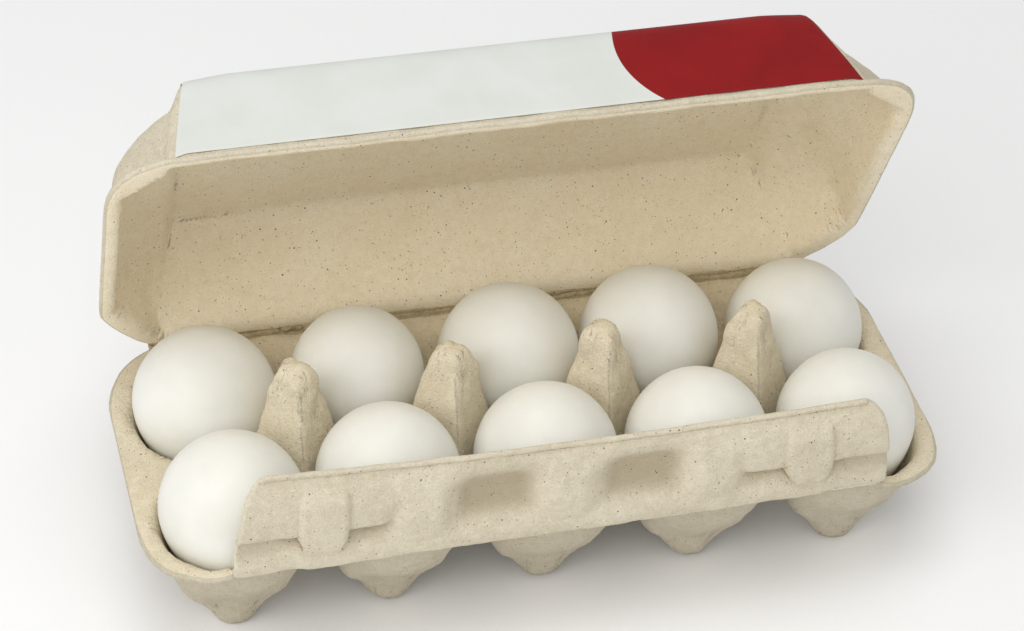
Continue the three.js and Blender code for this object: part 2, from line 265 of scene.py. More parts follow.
def within_box(points):
    """Metres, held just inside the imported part's own box."""
    low, high = (np.array(corner) for corner in cad_box)
    return np.clip(to_frame(points), low + [BOX_MARGIN, BOX_MARGIN, 0], high - BOX_MARGIN)


def make_piece(name, points, triangles, body, nodes=()):
    """A smooth mesh piece that stands for the nodes and rides the body, or one left on no body when none is
    given.
    """
    mesh = bpy.data.meshes.new(name)
    mesh.vertices.add(len(points))
    mesh.vertices.foreach_set("co", within_box(points).astype(np.float32).ravel())
    mesh.loops.add(triangles.size)
    mesh.loops.foreach_set("vertex_index", triangles.astype(np.int32).ravel())
    mesh.polygons.add(len(triangles))
    mesh.polygons.foreach_set("loop_start", np.arange(0, triangles.size, 3, dtype=np.int32))
    mesh.polygons.foreach_set("use_smooth", np.full(len(triangles), True))
    mesh.update(calc_edges=True)
    mesh.validate()
    piece = bpy.data.objects.new(name, mesh)
    bpy.context.scene.collection.objects.link(piece)
    if nodes:
        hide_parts(*nodes)
    if body:
        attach(piece, body)
    return piece


# ---- Tray ----
TRAY_FRONT, TRAY_BACK, TRAY_END = -50.4, 61.1, 126.8
# Half of the rim's outline, from the middle of the front round one end to the middle of the back.
TRAY_OUTLINE = np.array([
    (0, -50.4), (40, -50.4), (80, -50.4), (100.6, -50.6), (102.0, -51.8), (105.0, -52.4), (109.5, -51.4),
    (114.5, -49.4), (119.0, -46.7), (122.3, -42.9), (124.6, -37.5), (126.0, -30.5), (126.7, -22.0),
    (126.8, -12.0), (126.8, 10.0), (126.8, 27.0), (126.2, 34.5), (124.4, 42.0), (120.6, 50.6),
    (115.4, 56.4), (110.6, 60.0), (106.0, 61.0), (98.0, 61.1), (50, 61.1), (0, 61.1),
])
# Profiles of a cup across the row and along it, where gussets spread it between the feet.
CUP_ACROSS = rounded_curve([
    (0, -1.0), (4.7, -1.0), (5.6, 0.7), (6.2, 3.4), (6.9, 6.4), (7.9, 9.8), (9.4, 13.0), (11.6, 16.0),
    (14.4, 19.0), (17.2, 22.4), (19.9, 26.3), (21.7, 30.2), (22.9, 34.0), (23.8, 38.0), (24.4, 42.0),
], 1.0)
CUP_ALONG = rounded_curve([
    (0, -1.0), (4.7, -1.0), (6.0, 0.7), (7.5, 3.2), (9.2, 6.0), (11.8, 9.2), (14.6, 12.0), (16.0, 14.2),
    (17.0, 17.4), (18.4, 21.2), (20.1, 25.4), (21.7, 30.2), (22.9, 34.0), (23.8, 38.0), (24.4, 42.0),
], 1.0)
CUP_SQUARENESS = 2.3  # exponent of the cup's plan, 2 is a circle
MIDDLE_RISE = 1.9  # how much higher the middle feet stand than the end ones
MIDDLE_RISE_HALF, MIDDLE_RISE_FADE = 104.0, (4.0, 24.0)  # along the rows, and the heights it fades over
FRONT_LIFT = 1.4  # how much higher the rim is along the flap
FRONT_LIFT_DEPTH, FRONT_LIFT_END = (38.0, 48.0), (97.0, 112.0)  # where the lift starts and where it ends
RIM_FROM_END, RIM_FROM_BACK, RIM_FROM_FRONT = (101.0, 112.0), (41.0, 55.0), (35.0, 47.0)
EDGE_SOFTNESS, POST_SOFTNESS = 2.2, 3.6
RIM_Z, WEB_Z = 37.0, 27.8
POST_TOP, POST_HALF_TOP, POST_STEEPNESS = 71.6, 3.9, 3.6
POST_RIDGE = 0.5  # how much the posts' upright ridges are blunted
TRAY_GRAIN, POST_GRAIN = (0.28, 9.0), 0.9  # the unevenness of the pulp, and of the tall posts
POST_EDGE, FOOT_EDGE, SHEET_EDGE = 2.6, 2.2, 4.0  # longest mesh edges


def tray_height(x, y):
    """Height of the tray's middle surface."""
    column = np.clip(np.round(x / PITCH + (COLUMNS - 1) / 2), 0, COLUMNS - 1)
    dx = np.abs(x - (column - (COLUMNS - 1) / 2) * PITCH)
    dy = np.abs(np.abs(y) - ROW_Y)
    reach = (dx**CUP_SQUARENESS + dy**CUP_SQUARENESS) ** (1 / CUP_SQUARENESS)
    lengthwise = smooth_step(0.25, 0.95, dx**2 / np.maximum(dx**2 + dy**2, 1e-6))
    cup = CUP_ACROSS(reach) * (1 - lengthwise) + CUP_ALONG(reach) * lengthwise
    to_rim = np.maximum(smooth_step(*RIM_FROM_END, np.abs(x)), smooth_step(*RIM_FROM_BACK, y))
    to_rim = np.maximum(to_rim, smooth_step(*RIM_FROM_FRONT, -y))
    lift = FRONT_LIFT * smooth_step(*FRONT_LIFT_DEPTH, -y) * (1 - smooth_step(*FRONT_LIFT_END, np.abs(x)))
    crest = WEB_Z + (RIM_Z + lift - WEB_Z) * to_rim
    sheet = soft_min(cup, crest, EDGE_SOFTNESS)
    gap = np.clip(np.round(x / PITCH + 0.5) - 0.5, -1.5, 1.5) * PITCH
    away_x = np.sqrt((x - gap) ** 2 + POST_RIDGE) - 0.7
    away_y = (np.sqrt(y**2 + POST_RIDGE) - 0.7) / 1.05
    post = POST_TOP - POST_STEEPNESS * (away_x + away_y - POST_HALF_TOP)
    post = soft_min(post, np.full_like(post, POST_TOP), POST_SOFTNESS)
    rise = MIDDLE_RISE * np.maximum(0, 1 - (x / MIDDLE_RISE_HALF) ** 2)
    rise = rise * (1 - smooth_step(*MIDDLE_RISE_FADE, sheet))
    return soft_max(sheet + rise, post, POST_SOFTNESS)


def dense_outline(half, sign):
    """A half outline in short steps with its corners rounded, mirrored where sign is negative."""
    steps = np.linspace(0, len(half) - 1, 40 * len(half))
    line = np.stack([np.interp(steps, np.arange(len(half)), half[:, k]) for k in (0, 1)], 1)
    bell = np.hanning(31)
    padded = np.concatenate([np.repeat(line[:1], 15, 0), line, np.repeat(line[-1:], 15, 0)])
    line = np.stack([np.convolve(padded[:, k], bell / bell.sum(), mode="valid") for k in (0, 1)], 1)
    return line * np.array([sign, 1])


def reach_outline(place, centre, outline):
    """Where the ray from centre through place meets the outline."""
    offset = outline - centre
    angle = np.arctan2(offset[:, 1], offset[:, 0])
    turn = np.arctan2(*(place - centre)[::-1])
    apart = (angle - turn + math.pi) % (2 * math.pi) - math.pi
    near = np.argsort(np.abs(apart))[:2]
    weight = np.abs(apart[near])[::-1] / max(np.abs(apart[near]).sum(), 1e-9)
    reach = (np.linalg.norm(offset[near], axis=1) * weight).sum()
    return centre + reach * np.array([math.cos(turn), math.sin(turn)])


def cell_edge(column, row, per_side=16):
    """The edge of one cell of the tray's plan, with the rim's outline where the cell is at an end."""
    middle = (column - (COLUMNS - 1) / 2) * PITCH
    left = -TRAY_END if column == 0 else middle - PITCH / 2
    right = TRAY_END if column == COLUMNS - 1 else middle + PITCH / 2
    front, back = (TRAY_FRONT, 0) if row < 0 else (0, TRAY_BACK)
    corners = np.array([(left, front), (right, front), (right, back), (left, back)], float)
    centre = np.array([middle, row * ROW_Y])
    edge = []
    for side in range(4):
        for step in range(per_side):
            place = corners[side] + (corners[(side + 1) % 4] - corners[side]) * step / per_side
            outer = place[1] in (TRAY_FRONT, TRAY_BACK) or abs(place[0]) == TRAY_END
            if outer and column in (0, COLUMNS - 1):
                place = reach_outline(place, centre, dense_outline(TRAY_OUTLINE, np.sign(middle)))
            edge.append(place)
    return np.array(edge), centre


def tray_plan():
    """The tray seen from above: rings of points round the middle of each cell."""
    shares = [0.05, 0.15, 0.28, 0.42, 0.55, 0.68, 0.8, 0.9, 1.0]
    points, triangles, total = [], [], 0
    for row in (-1, 1):
        for column in range(COLUMNS):
            edge, centre = cell_edge(column, row)
            count = len(edge)
            rings = [centre + (edge - centre) * share for share in shares]
            points += [*rings, centre[None]]
            for k in range(len(rings) - 1):
                triangles.append(ring_triangles(count, total + (k + 1) * count, total + k * count))
            middle = total + len(rings) * count
            k = np.arange(count)
            triangles.append(np.stack([total + k, total + (k + 1) % count, np.full(count, middle)], 1))
            total = middle + 1
    return weld(np.concatenate(points), np.concatenate(triangles))


def tray_surface(plan):
    return np.column_stack([plan, tray_height(plan[:, 0], plan[:, 1])])


def build_tray():
    def longest(places):
        height = places[:, 2]
        return np.where(height > 40, POST_EDGE, np.where(height < 9, FOOT_EDGE, SHEET_EDGE))

    plan, triangles = refine(*tray_plan(), tray_surface, longest)
    middle = tray_surface(plan)
    normal = normals_of(middle, triangles)
    swell = TRAY_GRAIN[0] * rough(middle, TRAY_GRAIN[1], 11) + 0.12 * noise(middle, 2.6, 12)
    on_post = smooth_step(46, 66, middle[:, 2])
    swell += on_post * (POST_GRAIN * rough(middle, (5.0, 5.0, 9.0), 13))
    middle = middle + normal * swell[:, None]
    points, faces = thicken(middle, triangles, PULP)
    piece = make_piece("tray_pulp", points, faces, "tray", ["tray"])
    return piece, slice(len(triangles), None)


# ---- Eggs ----
EGG_EQUATOR, EGG_SEAT, EGG_UPPER = 43.9, 10.5, 1.06
EGG_TAPER = 0.3  # how far the lower half draws in towards its point
EGG_FACETS = 5  # how often the ball's triangles are split
# each egg's radius and how far it lies from its cell's middle, in X, Y and Z
FRONT_EGGS = [
    (22.8, 0.1, -0.5, -1.2), (22.7, -0.2, 0.9, 0.9), (22.7, 0.7, 0.6, 1.0), (22.8, 0.3, -0.4, -0.4),
    (22.0, 0.4, -0.2, -0.1),
]
BACK_EGGS = [
    (23.0, 0.3, -0.6, -0.8), (21.5, 0.5, 0.5, 0.7), (23.1, 1.2, 0.2, 0.6), (22.8, -0.7, 0.7, 0.5),
    (22.6, -0.4, -0.9, -2.6),
]


def build_egg(row, column, radius, shift, sphere):
    equator = EGG_EQUATOR + shift[2]
    directions, triangles = sphere
    lower = equator - EGG_SEAT
    up = directions[:, 2]
    height = np.where(up > 0, up * radius * EGG_UPPER, up * lower)
    side = (-1 if row == "front" else 1) * ROW_Y
    centre = np.array([(column - 2) * PITCH + shift[0], side + shift[1], equator])
    girth = radius * (1 - EGG_TAPER * np.maximum(0, -up) ** 1.5)
    points = np.column_stack([directions[:, 0] * girth, directions[:, 1] * girth, height])
    seed = 40 + column + (10 if row == "back" else 0)
    points = points + directions * (0.10 * noise(points, 14.0, seed) - 0.06)[:, None]
    name = f"egg_{row}_{column + 1}"
    return make_piece(f"{name}_shell", points + centre, triangles, "tray", [name])


def ball(subdivisions):
    """A unit ball's points and triangles."""
    work = bmesh.new()
    bmesh.ops.create_icosphere(work, subdivisions=subdivisions, radius=1.0)
    points = np.array([v.co for v in work.verts])
    triangles = np.array([[v.index for v in f.verts] for f in work.faces])
    work.free()
    return points, triangles


# ---- Lid, in its own frame: x, s from the hinge line to the front rim, h up to the roof ----
LID_DEPTH = 34.9
LID_DRAFT = 0.35
LID_FRONT_FOOT, LID_BACK_FOOT, LID_END_FOOT = 120.9, 5.0, 122.6
PLATEAU_HALF, PLATEAU_DRAFT = 108.6, 0.28
LID_EDGE = 3.0  # longest mesh edge
ENDS_SOFTNESS, PLATEAU_SOFTNESS, CREASE_SOFTNESS, FLANGE_SOFTNESS = 9.0, 7.0, 8.5, 3.0
END_WALL = rounded_curve([
    (0, 0), (0.4, 6), (1.0, 12), (2.7, 17), (6.2, 22), (10.6, 27), (15, 32), (19, 36), (24, 40),
], 0.8)
CORNER_WALL = rounded_curve([
    (0, 0), (1.6, 5), (4.0, 12), (6.6, 17), (9.8, 22), (13.8, 27), (19.5, 33), (24.0, 37),
], 1.5)


def lid_height(x, s):
    """Height of the lid's middle surface."""
    reach = np.abs(x)
    from_front = (LID_FRONT_FOOT - s) / LID_DRAFT
    from_back = (s - LID_BACK_FOOT) / LID_DRAFT
    ends = np.full_like(reach, LID_DEPTH - 1.0)
    back_corner = END_WALL(84.0 - 0.816 * reach + 0.578 * s)
    front_corner = CORNER_WALL(160.0 - 0.707 * reach - 0.707 * s)
    for wall in (from_front, from_back, END_WALL(LID_END_FOOT - reach), back_corner, front_corner):
        ends = soft_min(ends, wall, ENDS_SOFTNESS)
    plateau = np.full_like(reach, LID_DEPTH)
    for wall in (from_front, from_back, (PLATEAU_HALF - reach) / PLATEAU_DRAFT):
        plateau = soft_min(plateau, wall, PLATEAU_SOFTNESS)
    return soft_max(np.full_like(reach, 1.0), soft_max(ends, plateau, CREASE_SOFTNESS), FLANGE_SOFTNESS)


# Half of the lid's rim, from the middle of its front round one end to the middle of the hinge.
LID_OUTLINE = np.array([
    (0, 124.2), (60, 124.2), (106, 124.2), (112.5, 122.6), (117.6, 119.8), (121.6, 115.6), (124.0, 110.2),
    (125.4, 104.0), (125.8, 97), (125.8, 60), (125.8, 32), (125.3, 24.5), (122.3, 18), (117.2, 10.4),
    (113.6, 5.8), (110.6, 2.6), (107.5, 0.8), (100, 0.5), (50, 0.5), (0, 0.5),
])
LID_SAG = 1.7  # how much lower the front rim hangs than a straight lid's
LID_SPINE = 62.0  # the middle of the roof, towards which the plan's rings shrink


def lid_plan():
    """The lid's plan: rings that shrink from its rim to a line along the middle of the roof."""
    half = dense_outline(LID_OUTLINE, 1)
    length = np.concatenate([[0], np.cumsum(np.linalg.norm(np.diff(half, axis=0), axis=1))])
    even = np.linspace(0, length[-1], 150)
    half = np.stack([np.interp(even, length, half[:, k]) for k in (0, 1)], 1)
    rim = np.concatenate([half, (half * [-1, 1])[-2:0:-1]])
    core = np.column_stack([np.clip(rim[:, 0], -LID_SPINE, LID_SPINE), np.full(len(rim), LID_SPINE)])
    shares = [1.0, 0.97, 0.9, 0.8, 0.66, 0.5, 0.33, 0.16, 0.0]
    rings = [core + (rim - core) * share for share in shares]
    count = len(rim)
    triangles = [ring_triangles(count, k * count, (k + 1) * count) for k in range(len(shares) - 1)]
    return weld(np.concatenate(rings), np.concatenate(triangles))


def lid_place(points):
    """From the lid's own x, s, h to the carton's x, y, z with the lid open."""
    x, s, h = points.T
    y = HINGE_Y - s * math.cos(LID_OPEN) + h * math.sin(LID_OPEN)
    sag = LID_SAG * s / LID_OUTLINE[0, 1]
    z = HINGE_Z + s * math.sin(LID_OPEN) + h * math.cos(LID_OPEN) - sag
    return np.column_stack([x, y, z])


def lid_surface(plan):
    return np.column_stack([plan, lid_height(plan[:, 0], plan[:, 1])])


def build_lid():
    plan, triangles = lid_plan()
    plan, triangles = refine(plan, triangles, lid_surface, LID_EDGE)
    triangles = triangles[:, ::-1]  # s runs against y, so the roof side is turned over
    middle = lid_surface(plan)
    normal = -normals_of(middle, triangles)
    swell = 0.26 * rough(middle, 11.0, 21) + 0.10 * noise(middle, 2.6, 22)
    middle = middle + normal * swell[:, None]
    points, faces = thicken(lid_place(middle), triangles, PULP)
    piece = make_piece("lid_pulp", points, faces, "lid", ["lid"])
    return piece, slice(0, len(triangles))


# ---- Label ----
LABEL_FOOT, LABEL_EDGE, LABEL_ROOF_END = 120.3, 108.4, 30.0
LABEL_HALF_FOOT, LABEL_HALF_ROOF = 105.8, 98.0
LABEL_LIFT, LABEL_PAPER = 0.36, 0.16  # above the pulp, and the paper's own thickness


def build_label():
    """Paper that follows the lid's front wall and roof, a little above the pulp."""
    along = np.linspace(-1, 1, 161)
    rows = np.concatenate([np.linspace(LABEL_FOOT, 104.0, 40), np.linspace(103.0, LABEL_ROOF_END, 50)])
    share = np.clip((LABEL_FOOT - rows) / (LABEL_FOOT - LABEL_EDGE), 0, 1)
    half = LABEL_HALF_FOOT + (LABEL_HALF_ROOF - LABEL_HALF_FOOT) * share
    plan = np.stack([along[None] * half[:, None], np.repeat(rows[:, None], len(along), 1)], 2).reshape(-1, 2)
    wide = len(along)
    triangles = grid_triangles(len(rows), wide, flipped=True)
    base = lid_surface(plan)
    placed = lid_place(base)
    normal = normals_of(placed, triangles)
    middle = placed + normal * (PULP / 2 + LABEL_LIFT)
    points, faces = thicken(middle, triangles, LABEL_PAPER, edge_steps=1)
    sheet = make_piece("label_sheet", points, faces, "lid", ["label"])
    rise = np.concatenate([[0], np.cumsum(np.linalg.norm(np.diff(base[wide // 2::wide], axis=0), axis=1))])
    flat = np.column_stack([plan[:, 0], np.repeat(rise, wide)]) / 1000
    border = np.unique(border_edges(triangles))
    flat = np.concatenate([flat, flat, flat[border]])
    layer = sheet.data.uv_layers.new(name="sheet")
    layer.data.foreach_set("uv", flat[faces.ravel()].astype(np.float32).ravel())
    return sheet


# ---- Flap: x along the fold, profiles of [distance outwards, height above the fold] ----
FLAP_Y, FLAP_Z = -51.8, 39.5
FLAP_HALF, FLAP_RISE = 101.4, 34.9
FLAP_TILT_LEFT, FLAP_TILT_RIGHT = -1.5, 0.9  # how far the lower edge strays from the fold at its ends
FLAP_STRETCH_LEFT = 1.2  # how much taller the left end stands
FOOT = [(1.0, 1.2), (2.6, 1.5), (3.8, 2.6), (4.3, 4.2), (4.4, 6.0), (4.2, 7.4)]
POCKET = FOOT + [(3.5, 8.8), (2.4, 10.5), (1.2, 12.2), (0.2, 14.2), (-0.3, 17.0), (-0.3, 20.6), (0.1, 24.6),
                 (1.0, 27.2), (2.2, 29.4), (2.3, 31.4), (1.5, 33.4), (1.0, 34.3), (1.5, 35.1)]
PILLAR = FOOT + [(4.6, 8.6), (5.0, 10.6), (5.3, 13.0), (5.4, 16.0), (5.3, 20.0), (4.8, 24.6), (4.0, 28.0),
                 (3.2, 30.4), (2.7, 32.2), (1.6, 33.4), (1.0, 34.3), (1.5, 35.1)]
ROLL = FOOT + [(3.4, 8.6), (1.8, 10.2), (0.7, 11.8), (0.4, 13.4), (1.0, 14.6), (3.2, 14.9), (4.3, 16.2),
               (4.6, 19.0), (4.5, 23.0), (3.9, 27.6), (3.1, 31.0), (1.6, 33.4), (1.0, 34.3), (1.5, 35.1)]
BUTTON = FOOT + [(4.3, 8.2), (4.9, 8.6), (5.8, 9.6), (6.1, 11.6), (6.1, 16.0), (6.1, 22.0), (5.9, 26.4),
                 (5.0, 28.4), (3.4, 30.6), (2.6, 32.4), (1.6, 33.4), (1.0, 34.3), (1.5, 35.1)]
END = [(1.0, 1.2), (1.6, 2.0), (2.0, 3.6), (1.9, 6.0), (1.4, 9.5), (1.2, 12.8), (1.6, 14.2), (2.8, 14.9),
       (4.0, 16.4), (4.4, 20.0), (4.2, 24.6), (3.6, 29.0), (2.7, 32.0), (1.6, 33.4), (1.0, 34.3), (1.5, 35.1)]
PILLARS_AT, PILLAR_HALF = (-45.5, 0.2, 46.0), 9.4
BUTTON_AT, BUTTON_HALF = 75.7, 6.9
# How far the flap reaches along the fold at each height.
FLAP_END = rounded_curve(
    [(0, 101.4), (8, 101.3), (16, 100.4), (25, 99.0), (30, 97.6), (33, 95.4), (35.5, 91.5)], 1.5
)
ROLL_START, END_START = (50.5, 58.5), (84.5, 97.0)  # distances from the middle where those forms take over
TOP_SAG = 1.3  # how far the top edge hangs down in the middle
FLAP_GRAIN = (0.22, 8.0)


def profile_points(profile, count):
    """A profile's line, smoothed and cut into even steps."""
    line = np.array(profile, float)
    length = np.concatenate([[0], np.cumsum(np.linalg.norm(np.diff(line, axis=0), axis=1))])
    even = np.linspace(0, length[-1], 400)
    dense = np.stack([np.interp(even, length, line[:, k]) for k in (0, 1)], 1)
    bell = np.hanning(13)
    padded = np.concatenate([np.repeat(dense[:1], 6, 0), dense, np.repeat(dense[-1:], 6, 0)])
    dense = np.stack([np.convolve(padded[:, k], bell / bell.sum(), mode="valid") for k in (0, 1)], 1)
    share = np.linspace(0, 1, count)
    return np.stack([np.interp(share, np.linspace(0, 1, 400), dense[:, k]) for k in (0, 1)], 1)


def near(distance, half, soft):
    """1 within half of the middle and 0 beyond it, with a soft edge."""
    return 1 - smooth_step(half - soft, half + soft, np.abs(distance))


def build_flap():
    """The flap, whose profile changes along the fold. A point attribute says how deep a place lies in its
    pockets, and the flap's material darkens those places as painted shade.
    """
    columns, rows = 340, 84
    x = np.linspace(-FLAP_HALF, FLAP_HALF, columns)
    pocket, pillar, roll, button, end = (profile_points(p, rows) for p in (POCKET, PILLAR, ROLL, BUTTON, END))
    shape = np.repeat(pocket[None], columns, 0)
    height = pocket[:, 1]

    def cover(profile, weight):
        nonlocal shape
        shape = shape + (profile - shape) * weight[..., None]

    for middle in PILLARS_AT:
        half = PILLAR_HALF - 2.6 * smooth_step(15, 7, height) + 2.6 * smooth_step(22, 33, height)
        cover(pillar, near(x[:, None] - middle, half[None], 6.0))
    lean = 0.25 * (height - 17)[None]
    cover(roll, smooth_step(*ROLL_START, np.abs(x)[:, None] + lean))
    cover(end, smooth_step(*END_START, np.abs(x)[:, None] + 0.5 * (17 - height)[None]))
    taper = BUTTON_HALF - 2.0 * smooth_step(13.5, 9.0, height)
    cover(button, near(np.abs(x)[:, None] - BUTTON_AT, taper[None], 0.8))
    out, up = shape[..., 0], shape[..., 1]
    sag = TOP_SAG * (1 - (x[:, None] / FLAP_HALF) ** 2) * smooth_step(20, 34, up)
    along = x[:, None] + (FLAP_END(up) - FLAP_HALF) * (x[:, None] / FLAP_HALF) ** 5
    low = 1 - up / FLAP_RISE
    side = x[:, None] / FLAP_HALF
    tilt = np.where(side < 0, FLAP_TILT_LEFT, FLAP_TILT_RIGHT) * smooth_step(0.3, 1, np.abs(side)) * low
    stretch = FLAP_STRETCH_LEFT * smooth_step(0.2, 1, -side) * (1 - low)
    middle = np.stack([along, FLAP_Y - out, FLAP_Z + up - sag + tilt + stretch], 2).reshape(-1, 3)
    triangles = grid_triangles(columns, rows)
    normal = normals_of(middle, triangles)
    swell = FLAP_GRAIN[0] * rough(middle, FLAP_GRAIN[1], 31) + 0.08 * noise(middle, 2.2, 32)
    points, faces = thicken(middle + normal * swell[:, None], triangles, PULP - 0.1)
    piece = make_piece("flap_pulp", points, faces, "flap", ["flap"])
    out, up = out.ravel(), up.ravel()
    # painted shade: strongest deep in the pockets and under the roll, where shade falls
    depth = smooth_step(3.4, -0.6, out) * smooth_step(4.5, 11, up) * smooth_step(36, 31, up)
    pocket_painted_shade = np.zeros(len(points))
    pocket_painted_shade[:len(depth)] = depth
    piece.data.attributes.new("pocket_painted_shade", "FLOAT", "POINT").data.foreach_set("value", pocket_painted_shade.astype(np.float32))
    return piece


# ---- Crinkled strips of pulp that bend where the lid and the flap fold ----
HINGE_PATH = [(59.4, 37.2), (60.4, 37.8), (61.4, 38.7), (61.9, 39.9), (61.6, 41.2)]
HINGE_HALF, FOLD_HALF = 109.5, 100.4
HINGE_CREASES = (0.3, 0.74)  # shares of the strip's width
FOLD_PATH = [(-49.6, 38.4), (-50.4, 38.8), (-51.2, 39.5), (-52.1, 40.2), (-53.0, 40.7)]


def build_strip(name, half, path, seed, creases=()):
    """A strip along [y, z] places from the tray's rim to the moving sheet.

    creases: shares of its width where grooves run.
    """
    columns, rows = 420, 22
    x = np.linspace(-half, half, columns)
    line = np.array(path, float)
    share = np.linspace(0, len(line) - 1, rows)
    yz = np.stack([np.interp(share, np.arange(len(line)), line[:, k]) for k in (0, 1)], 1)
    middle = np.concatenate([np.repeat(x, rows)[:, None], np.tile(yz, (columns, 1))], 1)
    triangles = grid_triangles(columns, rows, flipped=True)
    normal = normals_of(middle, triangles)
    swell = 0.35 * rough(middle, (7.0, 1.6, 1.6), seed) + 0.2 * noise(middle, (1.6, 1.0, 1.0), seed + 5)
    across = np.tile(np.linspace(0, 1, rows), columns)
    for place in creases:
        wander = place + 0.16 * rough(middle * [1, 0, 0], 16.0, seed + 9 + int(10 * place), 4)
        swell -= 1.1 * np.exp(-(((across - wander) / 0.09) ** 2))
    points, faces = thicken(middle + normal * swell[:, None], triangles, PULP - 0.5)
    strip = make_piece(name, points, faces, None)
    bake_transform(strip)
    return strip


tray, tray_outside = build_tray()
lid, lid_inside = build_lid()
label = build_label()
flap = build_flap()
hinge_strip = build_strip("hinge_strip", HINGE_HALF, HINGE_PATH, 51, HINGE_CREASES)
fold_strip = build_strip("fold_strip", FOLD_HALF, FOLD_PATH, 61)
sphere = ball(EGG_FACETS)
eggs = []
for row, sizes in (("front", FRONT_EGGS), ("back", BACK_EGGS)):
    for column, (radius, *shift) in enumerate(sizes):
        eggs.append(build_egg(row, column, radius, shift, sphere))


# ---- Materials ----
def srgb(*value):
    return tuple(((v / 255 + 0.055) / 1.055) ** 2.4 for v in value)


class Shading:
    """A material under construction."""

    def __init__(self, name, roughness, specular):
        self.material = bpy.data.materials.new(name)
        self.material.use_nodes = True
        self.tree = self.material.node_tree
        self.shader = self.tree.nodes["Principled BSDF"]
        self.shader.inputs["Roughness"].default_value = roughness
        self.shader.inputs["Specular IOR Level"].default_value = specular
        self.place = self.add("ShaderNodeTexCoord").outputs["Object"]

    def add(self, kind, inputs=(), **settings):
        node = self.tree.nodes.new(kind)
        for key, value in settings.items():
            setattr(node, key, value)
        for key, value in dict(inputs).items():
            if isinstance(value, bpy.types.NodeSocket):
                self.tree.links.new(value, node.inputs[key])
            else:
                node.inputs[key].default_value = value
        return node

    def noise(self, scale, detail=2.0, rough=0.5, distortion=0.0, place=None):
        inputs = {"Vector": place or self.place, "Scale": scale, "Detail": detail, "Roughness": rough,
                  "Distortion": distortion}
        return self.add("ShaderNodeTexNoise", inputs).outputs["Fac"]

    def cells(self, scale):
        """Distance from the nearest point of a scatter, and that point's own random number."""
        node = self.add("ShaderNodeTexVoronoi", {"Vector": self.place, "Scale": scale})
        parts = self.add("ShaderNodeSeparateColor", {0: node.outputs["Color"]})
        return node.outputs["Distance"], parts.outputs[0]

    def ramp(self, value, low, high, to_low=0.0, to_high=1.0, smooth=True):
        kind = "SMOOTHSTEP" if smooth else "LINEAR"
        inputs = {0: value, 1: low, 2: high, 3: to_low, 4: to_high}
        return self.add("ShaderNodeMapRange", inputs, interpolation_type=kind).outputs[0]

    def maths(self, operation, a, b=0.0):
        return self.add("ShaderNodeMath", {0: a, 1: b}, operation=operation).outputs[0]

    def mix(self, share, a, b):
        node = self.add("ShaderNodeMix", data_type="RGBA")
        for key, value in ((0, share), (6, a), (7, b)):
            if isinstance(value, bpy.types.NodeSocket):
                self.tree.links.new(value, node.inputs[key])
            elif key:
                node.inputs[key].default_value = (*value, 1)
            else:
                node.inputs[key].default_value = value
        return node.outputs[2]

    def finish(self, colour, height=None, depth=0.0, strength=1.0):
        self.tree.links.new(colour, self.shader.inputs["Base Color"])
        if height is not None:
            bump = self.add("ShaderNodeBump", {"Height": height, "Distance": depth, "Strength": strength})
            self.tree.links.new(bump.outputs["Normal"], self.shader.inputs["Normal"])
        return self.material


FIBRE = srgb(146, 128, 94)
# scale, size, share kept, strength and colour of each kind of speck
SPECKS = [
    (390, 0.13, 0.85, 0.95, srgb(58, 48, 38)), (610, 0.16, 0.8, 0.75, srgb(84, 70, 50)),
    (980, 0.19, 0.8, 0.5, srgb(112, 96, 68)), (1500, 0.22, 0.75, 0.32, srgb(130, 113, 83)),
]
POCKET_PAINTED_SHADE_SHARE = 0.75  # how strongly the flap's pockets are darkened with painted shade
